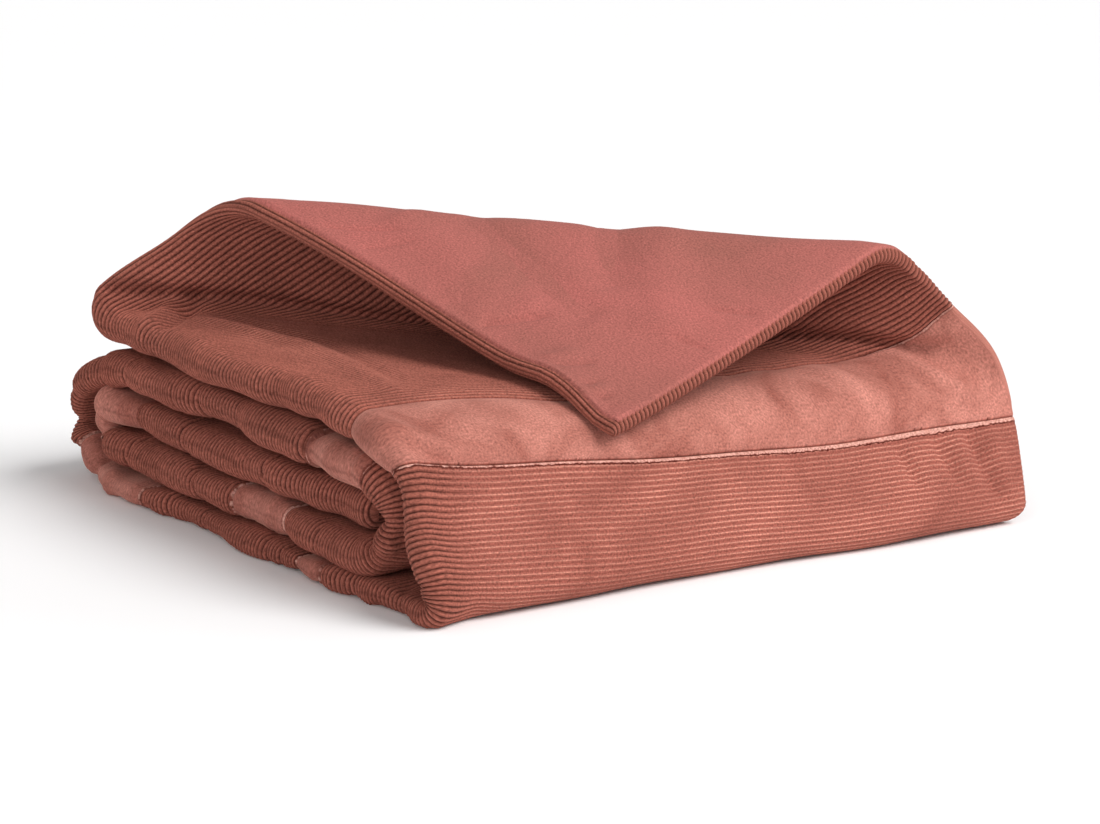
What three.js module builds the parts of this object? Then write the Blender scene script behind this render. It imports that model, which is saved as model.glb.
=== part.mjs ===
import * as THREE from 'three';

// Folded eiderdown in millimetres, +Z up, resting on its lowest layer.
// It is folded once along its length, with that fold on the left, and the doubled strip is rolled
// flat from its inner end. The free corner of the top ply is turned forward, lining up.

// Driving sizes
const PLY_GAP = 2;
const RIGHT_EDGE = 405;
const ORIGIN = { x: 198.7, y: 184.9 };
const HEM_ROLL = 3.4;
const FLAT_BELOW = 0.4;

// Centre line of the doubled strip seen from the left: y runs back and z up, heading is its
// direction in degrees (0 to the back, 90 up), half is half its thickness, left is how far its fold
// stands in from the left, right is where its free edges end, and steps lead to the next row.
const PATH = [
  { name: 'inner end', y: 64, z: 46, heading: 0, half: 10.4, left: 5, right: 402, steps: 5 },
  { name: 'inner layer back', y: 341, z: 50, heading: 2, half: 10.4, left: 1, right: 403, steps: 4 },
  { name: 'inner turn', y: 353, z: 38, heading: -90, half: 9.4, left: 3, right: 401, steps: 4 },
  { name: 'second layer back', y: 341, z: 26, heading: 180, half: 9.8, left: 0, right: 404, steps: 6 },
  { name: 'second layer front', y: 65, z: 23, heading: 180, half: 9.4, left: 0, right: 406, steps: 3 },
  { name: 'front turn', y: 41, z: 46, heading: 90, half: 9.6, left: 4, right: 404, steps: 3 },
  { name: 'fourth layer front', y: 65, z: 70, heading: 2, half: 11.2, left: 0, right: 405, steps: 6 },
  { name: 'fourth layer back', y: 326, z: 73, heading: -2, half: 10.2, left: 0, right: 403, steps: 5 },
  { name: 'back turn', y: 384.5, z: 33, heading: -90, half: 8, left: 0, right: 403, steps: 5 },
  { name: 'bottom layer back', y: 330, z: 6.4, heading: 180, half: 6.4, left: -5, right: 404, steps: 7 },
  { name: 'bottom layer front', y: 2, z: 6.2, heading: 180, half: 6.2, left: -3, right: 386, steps: 3 },
  { name: 'front face foot', y: -7, z: 15, heading: 88, half: 7.2, left: 0, right: 393, steps: 3 },
  { name: 'front face head', y: 18.5, z: 66, heading: 72, half: 9.2, left: 0, right: 410, steps: 4 },
  { name: 'top layer front', y: 62, z: 93.4, heading: 8, half: 10.6, left: 0, right: 405, steps: 10 },
  { name: 'top layer middle', y: 180, z: 96.5, heading: 0, half: 10.8, left: 0, right: 405, steps: 15 },
  { name: 'top layer end', y: 350, z: 99, heading: 1, half: 10.8, left: 0, right: 405, steps: 0 },
];
const TOP_ROW = 13;

// How strongly the centre line rounds its turns
const TURN_PULL = 0.657;

// How the layers settle: they are pressed lower from the left fold to the right and dip in the
// middle, the foot of the front face swells forward at its right, and the left folds are uneven
const PRESSED = { low: 0.13, from: 20, run: 330, dip: 0.04, width: 400, depth: 380 };
const SWELL = { forward: 10, from: 180, run: 150, height: 80, depth: 110 };
const UNEVEN = { reach: 70, waves: [{ size: 2.2, y: 31, z: 9 }, { size: 1.6, y: 17, z: -14 }] };

// Distance from the left fold over which its inset fades
const INSET_FADE = 90;

// Turned corner: the valley line starts at the left fold and runs forward to the right. Across it
// the ply rises, rounds over a ridge and comes forward and down. Rows stand along the valley line.
const VALLEY = { y: 328, angle: 39 };
const TURN = [
  { name: 'left', along: 0, foot: 12, lean: 92, wall: 36, ridge: 21, fall: 15 },
  { name: 'middle', along: 240, foot: 12, lean: 98, wall: 37.5, ridge: 24, fall: 27 },
  { name: 'right', along: 480, foot: 14, lean: 100, wall: 31, ridge: 24, fall: 30 },
];
const FALL_TAKE_UP = 0.98;
const LEAVING = 60;
const LANDING = { run: 20, above: 11.6, soft: 5 };

// The wall's end at the left fold bulges outward and up
const BULGE = { size: 6, rise: 4, run: 110, reach: 60 };

// Middle height of the top layer under the turned corner, with its slope and its rounded front
const TOP = { height: 98.5, slope: 0.022, front: 62, run: 44, drop: 26, nearest: 40 };

// Cloth from the head of the front face to the top layer, as a share of the straight distance
const HEAD_STRETCH = 1.04;

// Half steps for the direction across a ply: millimetres across and a share of a row along
const HALF_STEP = { across: 0.4, along: 0.01 };

// Points across the outline: the top layer is finer, for its turned corner
const COARSE = { face: 14, inside: 4, lowInside: 4, lowFace: 10 };
const FINE = { face: 28, inside: 28, lowInside: 10, lowFace: 10 };

// Lining sheets past the valley line: their thickness, their gap to the ply, how near they come to
// the left fold, the right hem and the end hem, and the spacing of their rows past the valley line
const LINING = { thick: 1.2, gap: 0.8, left: 26, right: 392, end: 341, columns: 14 };
const TURNED_ROWS = [
  { name: 'start', past: 6, step: 4 },
  { name: 'foot', past: 22, step: 4 },
  { name: 'wall', past: 52, step: 7.5 },
  { name: 'ridge', past: 112, step: 5 },
  { name: 'tip', past: 252, step: 10 },
];
const LOWER_ROWS = [
  { name: 'start', past: 36, step: 4 },
  { name: 'tip', past: 252, step: 36 },
];

const radians = (degrees) => (degrees * Math.PI) / 180;
const mix = (a, b, t) => a + (b - a) * t;
const clamp = (t) => Math.min(1, Math.max(0, t));
const smooth = (t) => clamp(t) ** 2 * (3 - 2 * clamp(t));

// Values of a table's row at a place between its rows
function between(rows, key, place) {
  let i = 0;
  while (i < rows.length - 2 && place > rows[i + 1][key]) i += 1;
  const t = smooth((place - rows[i][key]) / (rows[i + 1][key] - rows[i][key]));
  const out = {};
  for (const name of Object.keys(rows[i])) {
    if (name !== 'name') out[name] = mix(rows[i][name], rows[i + 1][name], t);
  }
  return out;
}

// Point and outward direction of the centre line, at a fraction of the way to the next row
function centre(row, t) {
  const a = PATH[row];
  const b = PATH[row + 1];
  const [dy, dz] = [b.y - a.y, b.z - a.z];
  const pull = 1 + TURN_PULL * Math.sin(radians(b.heading - a.heading)) ** 2;
  const [ay, az] = [Math.cos(radians(a.heading)), Math.sin(radians(a.heading))];
  const [by, bz] = [Math.cos(radians(b.heading)), Math.sin(radians(b.heading))];
  const ma = Math.abs(dy * ay + dz * az) * pull;
  const mb = Math.abs(dy * by + dz * bz) * pull;
  const cubic = (p, m, q, n) => p + t * (m + t * (3 * (q - p) - 2 * m - n + t * (2 * (p - q) + m + n)));
  const slope = (p, m, q, n) => m + t * (2 * (3 * (q - p) - 2 * m - n) + 3 * t * (2 * (p - q) + m + n));
  const ty = slope(a.y, ma * ay, b.y, mb * by);
  const tz = slope(a.z, ma * az, b.z, mb * bz);
  const length = Math.hypot(ty, tz);
  return {
    y: cubic(a.y, ma * ay, b.y, mb * by),
    z: cubic(a.z, ma * az, b.z, mb * bz),
    ny: -tz / length,
    nz: ty / length,
    half: mix(a.half, b.half, smooth(t)),
    left: mix(a.left, b.left, smooth(t)),
    right: mix(a.right, b.right, smooth(t)),
  };
}

// How far the layers are pressed together, from 1 at the folds to less away from them
function pressed(x, y) {
  const low = PRESSED.low * smooth((x - PRESSED.from) / PRESSED.run);
  const inWidth = Math.sin(Math.PI * clamp(x / PRESSED.width));
  const inDepth = Math.sin(Math.PI * clamp(y / PRESSED.depth));
  return 1 - low - PRESSED.dip * inWidth * inDepth;
}

// The layers settle lower away from the fold, the foot of the front face swells forward to the
// right, and the folds are uneven
function settle(x, y, z) {
  const low = 1 - smooth(z / SWELL.height);
  const near = 1 - smooth(y / SWELL.depth);
  const swell = SWELL.forward * smooth((x - SWELL.from) / SWELL.run) * low * near;
  const loose = 1 - smooth(x / UNEVEN.reach);
  const sway = UNEVEN.waves.reduce((sum, w) => sum + w.size * Math.sin(y / w.y + z / w.z), 0);
  return { x: x + loose * sway, y: y - swell, z: z * pressed(x, y) };
}

// Reach and rise of the turned ply at a distance past the valley line
function turned(past, along) {
  const r = between(TURN, 'along', along);
  const lean = radians(r.lean);
  const fall = radians(r.fall);
  const sweep = Math.PI + fall - lean;
  const footLength = r.foot * lean;
  const ridgeStart = footLength + r.wall;
  const ridgeEnd = ridgeStart + r.ridge * sweep;
  const foot = Math.min(past, footLength) / r.foot;
  const wall = clamp((past - footLength) / r.wall) * r.wall;
  const turn = clamp((past - ridgeStart) / (r.ridge * sweep)) * sweep;
  const drop = Math.max(0, past - ridgeEnd) * FALL_TAKE_UP;
  return {
    reach: r.foot * Math.sin(foot) + wall * Math.cos(lean)
      + r.ridge * (Math.sin(lean + turn) - Math.sin(lean)) - drop * Math.cos(fall),
    rise: r.foot * (1 - Math.cos(foot)) + wall * Math.sin(lean)
      + r.ridge * (Math.cos(lean) - Math.cos(lean + turn)) - drop * Math.sin(fall),
    landing: smooth((past - ridgeEnd) / LANDING.run),
  };
}

// Middle height of the top ply where the turned corner comes to lie on it
function topHeight(x, y) {
  const front = TOP.drop * clamp((TOP.front - y) / TOP.run) ** 2;
  return settle(x, y, TOP.height + y * TOP.slope - front).z;
}

// Distance along the cloth on the top layer, counted so that it equals y on its flat part
const topStart = PATH[TOP_ROW];
const headStart = PATH[TOP_ROW - 1];
const HEAD_LENGTH = HEAD_STRETCH * Math.hypot(topStart.y - headStart.y, topStart.z - headStart.z);
const clothPlace = (row, t) => (row < TOP_ROW ? topStart.y - HEAD_LENGTH * (1 - t) : centre(row, t).y);

const valleyTurn = radians(VALLEY.angle);
const ALONG = { x: Math.cos(valleyTurn), y: -Math.sin(valleyTurn) };
const ACROSS = { x: Math.sin(valleyTurn), y: Math.cos(valleyTurn) };

// Middle of a ply: across runs from the left fold, above nought on the outer ply and below nought
// on the inner one, and row and t give the place along the strip
function plyMiddle(across, row, t) {
  const c = centre(row, t);
  const off = c.half / 2 + PLY_GAP / 4;
  const bend = (Math.PI * off) / 2;
  const turn = clamp((across + bend) / (2 * bend));
  const beyond = Math.max(0, Math.abs(across) - bend);
  const inset = c.left * (1 - smooth(beyond / INSET_FADE));
  const x = inset + off * (1 - Math.sin(Math.PI * turn)) + (beyond * c.right) / RIGHT_EDGE;
  const side = -off * Math.cos(Math.PI * turn);
  const p = settle(x, c.y + c.ny * side, c.z + c.nz * side);
  const flat = new THREE.Vector3(p.x, p.y, p.z);
  if (row < TOP_ROW - 1) return flat;

  const cloth = clothPlace(row, t) - VALLEY.y;
  const past = x * ACROSS.x + cloth * ACROSS.y;
  if (past <= 0) return flat;
  const along = x * ALONG.x + cloth * ALONG.y;
  const lift = turned(past, along);
  const foot = { x: along * ALONG.x, y: VALLEY.y + along * ALONG.y };
  const blend = smooth(past / LEAVING);
  const bulge = Math.sin(Math.PI * clamp(past / BULGE.run)) * (1 - smooth(x / BULGE.reach));
  const goal = new THREE.Vector3(
    mix(p.x + (lift.reach - past) * ACROSS.x, foot.x + lift.reach * ACROSS.x, blend) - BULGE.size * bulge,
    mix(p.y + (lift.reach - past) * ACROSS.y, foot.y + lift.reach * ACROSS.y, blend),
    mix(p.z, topHeight(foot.x, Math.max(foot.y, TOP.nearest)), blend) + lift.rise + BULGE.rise * bulge,
  );
  const rest = topHeight(goal.x, goal.y) + LANDING.above;
  const over = goal.z - rest;
  const landed = rest + (over + Math.hypot(over, LANDING.soft)) / 2;
  goal.z = mix(goal.z, landed, lift.landing);
  return flat.lerp(goal, smooth(turn));
}

// Outward direction of a ply at a place, from two short steps on its middle
function plyNormal(across, row, t) {
  const [early, late] = [Math.max(0, t - HALF_STEP.along), Math.min(1, t + HALF_STEP.along)];
  const right = plyMiddle(across + HALF_STEP.across, row, t);
  const left = plyMiddle(across - HALF_STEP.across, row, t);
  const along = plyMiddle(across, row, late).sub(plyMiddle(across, row, early));
  return right.sub(left).cross(along).normalize();
}

// Places across a ply: round the fold, then evenly to the hem
const FOLD = [3, 6, 9];
const HEM_START = RIGHT_EDGE - HEM_ROLL;

// Round of the hem, as shares of its roll outward and of the ply's half thickness
const HEM_ROUND = [[0, 1], [0.7, 0.7], [1, 0], [0.7, -0.7], [0, -1]];

// Rounded ends of the strip: a share of the row, and of the thickness there
const INNER_END = [{ t: 0, thin: 0.35 }, { t: 0.012, thin: 0.8 }, { t: 0.03, thin: 1 }];
const OUTER_END = [{ t: 0.975, thin: 1 }, { t: 0.992, thin: 0.8 }, { t: 1, thin: 0.35 }];

// Distance round the outline from the face of a ply to its inside, for pairing points
const SIDE_STEP = 5;
const spread = (count) => {
  const share = (_, i) => (i + 1) / count;
  return Array.from({ length: count - 1 }, share).map((part) => mix(FOLD[2], HEM_START, part));
};

// Outline round the doubled strip, from the fold along the face of the outer ply and back inside:
// each point has its place across, its side of the ply (1 face, -1 inside) and its distance round
function outline({ face, inside, lowInside, lowFace }) {
  const upperHem = HEM_ROUND.map(([out, side]) => [HEM_START + out * HEM_ROLL, side]);
  const points = [
    ...[0, ...FOLD, ...spread(face)].map((across) => [across, 1]),
    ...upperHem,
    ...[...spread(inside).reverse(), FOLD[2]].map((across) => [across, -1]),
    ...[FOLD[2], ...spread(lowInside)].map((across) => [-across, -1]),
    ...upperHem.map(([across, side]) => [-across, side]).reverse(),
    ...[...spread(lowFace).reverse(), ...FOLD.toReversed()].map((across) => [-across, 1]),
  ];
  let round = 0;
  return points.map(([across, side], i) => {
    const [before, sideBefore] = points[Math.max(0, i - 1)];
    round += Math.hypot(across - before, SIDE_STEP * (side - sideBefore));
    return { across, side, round };
  });
}

// Triangles between two rings of points, stepping along the one that lags. Where neither lags, the
// diagonals run the way of the valley line on the face and on the inside.
function joinRings(a, b, index) {
  const at = (ring, n) => ring.start + (n % ring.loop.length);
  const roundAt = (ring, n) => (n < ring.loop.length ? ring.loop[n].round : a.loop.length * RIGHT_EDGE);
  let [i, j] = [0, 0];
  while (i < a.loop.length || j < b.loop.length) {
    const ahead = roundAt(b, j + 1) - roundAt(a, i + 1);
    const lags = ahead > 0 || (ahead === 0 && a.loop[i % a.loop.length].side > 0);
    const stepA = i < a.loop.length && (j === b.loop.length || lags);
    if (stepA) index.push(at(a, i), at(a, i + 1), at(b, j));
    else index.push(at(a, i), at(b, j + 1), at(b, j));
    if (stepA) i += 1;
    else j += 1;
  }
}

// Triangles across the band between the face and the inside of an end ring
function capRing({ start, loop }, index, flip) {
  const side = (test) => loop.map((_, i) => i).filter((i) => test(loop[i].side))
    .sort((i, j) => loop[i].across - loop[j].across);
  const [face, inside] = [side((s) => s > 0), side((s) => s <= 0)];
  let [i, j] = [0, 0];
  while (i < face.length - 1 || j < inside.length - 1) {
    const stepFace = j === inside.length - 1
      || (i < face.length - 1 && loop[face[i + 1]].across < loop[inside[j + 1]].across);
    const third = stepFace ? face[i + 1] : inside[j + 1];
    const corner = [start + face[i], start + third, start + inside[j]];
    index.push(...(flip ? corner.reverse() : corner));
    if (stepFace) i += 1;
    else j += 1;
  }
}

// Stations along the strip, with a rounded hem at each end, where thin scales the thickness
function stations() {
  const last = PATH.length - 2;
  const list = INNER_END.map((end) => ({ row: 0, ...end }));
  PATH.slice(0, -1).forEach(({ steps }, row) => {
    for (let i = row === 0 ? 1 : 0; i < steps; i += 1) list.push({ row, t: i / steps, thin: 1 });
  });
  return [...list, ...OUTER_END.map((end) => ({ row: last, ...end }))];
}

// Geometry of a closed body, moved to the origin below the middle of the eiderdown
function placed(positions, index) {
  const geometry = new THREE.BufferGeometry();
  geometry.setAttribute('position', new THREE.Float32BufferAttribute(positions, 3));
  geometry.setIndex(index);
  geometry.translate(-ORIGIN.x, -ORIGIN.y, 0);
  geometry.computeVertexNormals();
  return geometry;
}

function quilt() {
  const [coarse, fine] = [outline(COARSE), outline(FINE)];
  const index = [];
  const positions = [];
  let previous = null;
  for (const { row, t, thin } of stations()) {
    const ring = { start: positions.length / 3, loop: row < TOP_ROW - 1 ? coarse : fine };
    const { y, half } = centre(row, t);
    for (const { across, side } of ring.loop) {
      const point = plyMiddle(across, row, t);
      const reach = (side * thin * (half - PLY_GAP / 2) * pressed(Math.abs(across), y)) / 2;
      point.addScaledVector(plyNormal(across, row, t), reach);
      positions.push(point.x, point.y, point.z < FLAT_BELOW ? 0 : point.z);
    }
    if (previous) joinRings(previous, ring, index);
    else capRing(ring, index, true);
    previous = ring;
  }
  capRing(previous, index, false);
  return placed(positions, index);
}

// Station of a place along the cloth of the top layer
function stationAt(cloth) {
  const row = TOP_ROW - 1 + [topStart.y, PATH[TOP_ROW + 1].y].filter((y) => cloth > y).length;
  let [low, high] = [0, 1];
  while (high - low > 1e-5) {
    const t = (low + high) / 2;
    if (clothPlace(row, t) < cloth) low = t;
    else high = t;
  }
  return { row, t: low };
}

// Point off the inside of a ply, at a distance past the valley line and a fraction along that row.
// Ply is 1 for the turned outer ply and -1 for the inner one, and lift is the height off the ply.
function liningPoint(ply, past, fraction, lift) {
  const reachTo = (cloth) => (past - (cloth - VALLEY.y) * ACROSS.y) / ACROSS.x;
  const from = Math.max(LINING.left, reachTo(LINING.end));
  const x = mix(from, LINING.right, fraction);
  const { row, t } = stationAt(VALLEY.y + (past - x * ACROSS.x) / ACROSS.y);
  const { y, half, right } = centre(row, t);
  const off = half / 2 + PLY_GAP / 4;
  const across = ply * (((x - off) * RIGHT_EDGE) / right + (Math.PI * off) / 2);
  const out = ((half - PLY_GAP / 2) * pressed(Math.abs(across), y)) / 2 + lift;
  return plyMiddle(across, row, t).addScaledVector(plyNormal(across, row, t), -out);
}

// Distances past the valley line from a table of rows
function pastRows(table) {
  const list = [table[0].past];
  table.slice(1).forEach(({ past, step }, i) => {
    const from = table[i].past;
    const count = Math.round((past - from) / step);
    for (let n = 1; n <= count; n += 1) list.push(mix(from, past, n / count));
  });
  return list;
}

// Lining sheet over the inside of one ply, as a thin closed grid
function lining(ply, table) {
  const pasts = pastRows(table);
  const across = LINING.columns + 1;
  const positions = [];
  for (const lift of [LINING.gap, LINING.gap + LINING.thick]) {
    for (const past of pasts) {
      for (let n = 0; n < across; n += 1) {
        positions.push(...liningPoint(ply, past, n / LINING.columns, lift).toArray());
      }
    }
  }
  const layer = pasts.length * across;
  const index = [];
  const quad = (a, b, c, d) => index.push(a, b, c, a, c, d);
  const at = (level, i, n) => level * layer + i * across + n;
  for (let i = 0; i < pasts.length - 1; i += 1) {
    for (let n = 0; n < LINING.columns; n += 1) {
      quad(at(0, i, n), at(0, i, n + 1), at(0, i + 1, n + 1), at(0, i + 1, n));
      quad(at(1, i, n), at(1, i + 1, n), at(1, i + 1, n + 1), at(1, i, n + 1));
    }
    quad(at(0, i, 0), at(0, i + 1, 0), at(1, i + 1, 0), at(1, i, 0));
    const last = LINING.columns;
    quad(at(0, i, last), at(1, i, last), at(1, i + 1, last), at(0, i + 1, last));
  }
  const end = pasts.length - 1;
  for (let n = 0; n < LINING.columns; n += 1) {
    quad(at(0, 0, n), at(1, 0, n), at(1, 0, n + 1), at(0, 0, n + 1));
    quad(at(0, end, n), at(0, end, n + 1), at(1, end, n + 1), at(1, end, n));
  }
  if (ply < 0) index.reverse();
  return placed(positions, index);
}

const corduroy = new THREE.MeshStandardMaterial({ color: '#a35f50', roughness: 0.95, metalness: 0 });
const cotton = new THREE.MeshStandardMaterial({ color: '#b8706a', roughness: 0.8, metalness: 0 });

const eiderdown = new THREE.Group();

function addPiece(name, geometry, material) {
  const piece = new THREE.Mesh(geometry, material);
  piece.name = name;
  eiderdown.add(piece);
}

addPiece('quilt', quilt(), corduroy);
addPiece('lining_turned', lining(1, TURNED_ROWS), cotton);
addPiece('lining_lower', lining(-1, LOWER_ROWS), cotton);

export default eiderdown;
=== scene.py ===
import math

import bmesh
import bpy
import numpy as np
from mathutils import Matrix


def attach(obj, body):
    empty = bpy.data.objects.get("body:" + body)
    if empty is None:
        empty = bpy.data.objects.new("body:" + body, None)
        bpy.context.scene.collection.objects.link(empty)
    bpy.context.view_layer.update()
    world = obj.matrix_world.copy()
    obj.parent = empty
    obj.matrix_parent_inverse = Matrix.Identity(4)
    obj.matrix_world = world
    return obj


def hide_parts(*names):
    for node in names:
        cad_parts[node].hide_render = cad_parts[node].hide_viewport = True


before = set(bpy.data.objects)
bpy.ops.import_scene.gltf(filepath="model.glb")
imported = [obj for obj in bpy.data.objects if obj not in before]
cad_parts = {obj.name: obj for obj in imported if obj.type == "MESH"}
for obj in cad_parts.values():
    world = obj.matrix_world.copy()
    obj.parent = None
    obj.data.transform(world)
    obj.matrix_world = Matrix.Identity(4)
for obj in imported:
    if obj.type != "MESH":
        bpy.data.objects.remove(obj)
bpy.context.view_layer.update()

# A folded eiderdown. Sizes are in millimetres from the near left corner of its foot, with x along
# the front, y to the back and z up. Meshes are made in metres from the middle of its underside.
MM = 0.001
ORIGIN = np.array([198.7, 184.9, 0.0])

# The doubled strip of padded cloth seen from the left, as in the solids: y and z of its middle,
# its heading in degrees, half its thickness, and how far its left fold and free edges stand
PLY_GAP = 2.0
RIGHT_EDGE = 405.0
HEM_ROLL = 3.4
PATH = np.array([
    (64, 46, 0, 10.4, 5, 402),         # inner end
    (341, 50, 2, 10.4, 1, 403),        # inner layer, back
    (353, 38, -90, 9.4, 3, 401),       # inner turn
    (341, 26, 180, 9.8, 0, 404),       # second layer, back
    (65, 23, 180, 9.4, 0, 406),        # second layer, front
    (41, 46, 90, 9.6, 4, 404),         # front turn
    (65, 70, 2, 11.2, 0, 405),         # fourth layer, front
    (326, 73, -2, 10.2, 0, 403),       # fourth layer, back
    (384.5, 33, -90, 8, 0, 403),       # back turn
    (330, 6.4, 180, 6.4, -5, 404),     # bottom layer, back
    (2, 6.2, 180, 6.2, -3, 386),       # bottom layer, front
    (-7, 15, 88, 7.2, 0, 393),         # foot of the front face
    (18.5, 66, 72, 9.2, 0, 410),       # head of the front face
    (62, 93.4, 8, 10.6, 0, 405),       # top layer, front
    (180, 96.5, 0, 10.8, 0, 405),      # top layer, middle
    (350, 99, 1, 10.8, 0, 405),        # top layer, end
])
LAST_ROW = len(PATH) - 1
TOP_ROW = 13
TOP_FRONT, TOP_END = PATH[TOP_ROW, 0], PATH[LAST_ROW, 0]

# The cloth over the head of the front face is 4 % longer than the straight line
HEAD_LENGTH = 1.04 * math.hypot(*(PATH[TOP_ROW, :2] - PATH[TOP_ROW - 1, :2]))

# How much a quarter turn lengthens the handles of its curve, so that it comes out round
ROUND_TURN = 0.657

# The turned corner: distances along its valley line, each with the radius of its foot, its wall's
# lean in degrees and height, its ridge's radius, and its flap's fall in degrees
VALLEY_Y = 328.0
VALLEY_ANGLE = math.radians(39)
TURN = np.array([
    (0, 12, 92, 36, 21, 15),
    (240, 12, 98, 37.5, 24, 27),
    (480, 14, 100, 31, 24, 30),
])
ALONG_X, ALONG_Y = math.cos(VALLEY_ANGLE), -math.sin(VALLEY_ANGLE)
ACROSS_X, ACROSS_Y = math.sin(VALLEY_ANGLE), math.cos(VALLEY_ANGLE)

# The flap's length for each millimetre of its cloth, and the stretch past the ridge over which it
# starts to come to rest
FLAP_TAKEN_UP = 0.98
LANDING = 20

# How far past the valley line the turn takes over from the flat cloth, and how far from the left
# fold that fold's own place still shifts the cloth
VALLEY_BLEND = 60
FOLD_REACH = 90

# The top layer under the flap: the height of its upper ply at y = 0, its rise to the back, how far
# its front edge is rounded down and back, how far above it the flap rests, and how softly
TOP_HEIGHT = 98.5
TOP_RISE = 0.022
FRONT_DROP = 26
FRONT_ROUND = 44
FLAP_REST = 11.6
FLAP_SOFTNESS = 5.0


def mix(a, b, t):
    """Value that is a fraction t of the way from a to b."""
    return a + (b - a) * t


def smooth(t):
    """Rises smoothly from 0 to 1 as t does, and is level outside."""
    t = np.clip(t, 0, 1)
    return t * t * (3 - 2 * t)


def bump(x, middle, width):
    """A smooth hump, 1 high at its middle."""
    return np.exp(-(((x - middle) / width) ** 2))


# The folded shape of the cloth


def strip_middle(station):
    """Middle of the doubled strip at a station, which is the row of PATH and the fraction on to the
    next: y, z, the direction out of its face, half its thickness, and its left and right places."""
    row = np.clip(np.floor(station).astype(int), 0, LAST_ROW - 1)
    t = station - row
    ya, za, heading_a, half_a, left_a, right_a = np.moveaxis(PATH[row], -1, 0)
    yb, zb, heading_b, half_b, left_b, right_b = np.moveaxis(PATH[row + 1], -1, 0)
    heading_a, heading_b = np.radians(heading_a), np.radians(heading_b)
    pull = 1 + ROUND_TURN * np.sin(heading_b - heading_a) ** 2
    ay, az, by, bz = np.cos(heading_a), np.sin(heading_a), np.cos(heading_b), np.sin(heading_b)
    handle_a = np.abs((yb - ya) * ay + (zb - za) * az) * pull
    handle_b = np.abs((yb - ya) * by + (zb - za) * bz) * pull

    # A cubic from p to q, which leaves with slope m and arrives with slope n
    def place(p, m, q, n):
        return p + t * (m + t * (3 * (q - p) - 2 * m - n + t * (2 * (p - q) + m + n)))

    def slope(p, m, q, n):
        return m + t * (2 * (3 * (q - p) - 2 * m - n) + 3 * t * (2 * (p - q) + m + n))

    y, z = place(ya, handle_a * ay, yb, handle_b * by), place(za, handle_a * az, zb, handle_b * bz)
    ty, tz = slope(ya, handle_a * ay, yb, handle_b * by), slope(za, handle_a * az, zb, handle_b * bz)
    speed = np.hypot(ty, tz)
    s = smooth(t)
    return (
        y, z, -tz / speed, ty / speed,
        mix(half_a, half_b, s), mix(left_a, left_b, s), mix(right_a, right_b, s),
    )


def pressed(x, y):
    """Share of their thickness that the layers keep: up to 4 % less in the middle, where they are
    pressed together, and 13 % less at the right, where there is no fold."""
    dip = 0.04 * np.sin(np.pi * np.clip(x / 400, 0, 1)) * np.sin(np.pi * np.clip(y / 380, 0, 1))
    return 1 - 0.13 * smooth((x - 20) / 330) - dip


def settle(x, y, z):
    """The layers settle lower to the right, the foot swells 10 mm forward there, and the folds at the
    left stand up to 3.8 mm out of line."""
    swell = 10 * smooth((x - 180) / 150) * (1 - smooth(z / 80)) * (1 - smooth(y / 110))
    sway = 2.2 * np.sin(y / 31 + z / 9) + 1.6 * np.sin(y / 17 - z / 14)
    return x + (1 - smooth(x / 70)) * sway, y - swell, z * pressed(x, y)


def turned_profile(past, along):
    """Reach, rise and landing of the turned corner at a distance past its valley line, over its
    foot, wall, ridge and flap in turn."""
    row = (along > TURN[1, 0]).astype(int)
    a, b = np.moveaxis(TURN[row], -1, 0), np.moveaxis(TURN[row + 1], -1, 0)
    _, bend, lean, straight, ridge, fall = mix(a, b, smooth((along - a[0]) / (b[0] - a[0])))
    lean, fall = np.radians(lean), np.radians(fall)
    sweep = np.pi + fall - lean
    ridge_start = bend * lean + straight
    ridge_end = ridge_start + ridge * sweep
    foot = np.minimum(past, bend * lean) / bend
    wall = np.clip(past - bend * lean, 0, straight)
    turn = np.clip((past - ridge_start) / (ridge * sweep), 0, 1) * sweep
    drop = np.maximum(0, past - ridge_end) * FLAP_TAKEN_UP
    reach = (bend * np.sin(foot) + wall * np.cos(lean)
             + ridge * (np.sin(lean + turn) - np.sin(lean)) - drop * np.cos(fall))
    rise = (bend * (1 - np.cos(foot)) + wall * np.sin(lean)
            + ridge * (np.cos(lean) - np.cos(lean + turn)) - drop * np.sin(fall))
    return reach, rise, smooth((past - ridge_end) / LANDING)


def top_height(x, y):
    """Middle height of the top ply, where the turned corner comes down on it."""
    front = FRONT_DROP * np.clip((TOP_FRONT - y) / FRONT_ROUND, 0, 1) ** 2
    return settle(x, y, TOP_HEIGHT + y * TOP_RISE - front)[2]


def laid_out(station, y):
    """Place on the cloth of the top layer, equal to y on its flat part and counted on round its
    front edge."""
    return np.where(station < TOP_ROW, TOP_FRONT - HEAD_LENGTH * (TOP_ROW - station), y)


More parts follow.
